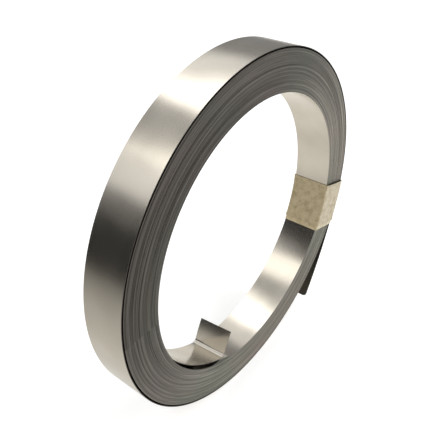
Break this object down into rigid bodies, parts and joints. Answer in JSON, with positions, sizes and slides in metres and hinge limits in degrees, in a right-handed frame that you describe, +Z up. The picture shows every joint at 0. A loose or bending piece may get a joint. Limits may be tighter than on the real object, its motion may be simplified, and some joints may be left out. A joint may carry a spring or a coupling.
{
  "type": "nickel plated strip roll",
  "caption": "Roll of narrow nickel plated steel strip wound with an open bore, a folded hook tab at its inner end, a sprung outer tail and a wrap of paper tape.",
  "frame": {"origin": "on the floor under the middle of the roll, which stands on its rim", "axes": "+Y along the roll's axis, away from the front end face; +Z up; the outer tail hangs on the +X side"},
  "size_m": [0.1762, 0.0212, 0.176],
  "materials": {
    "nickel_strip": "satin",
    "paper_tape": "matte"
  },
  "bodies": {
    "root": {"strip_roll": "nickel_strip", "tape_band": "paper_tape"}
  },
  "joints": []
}
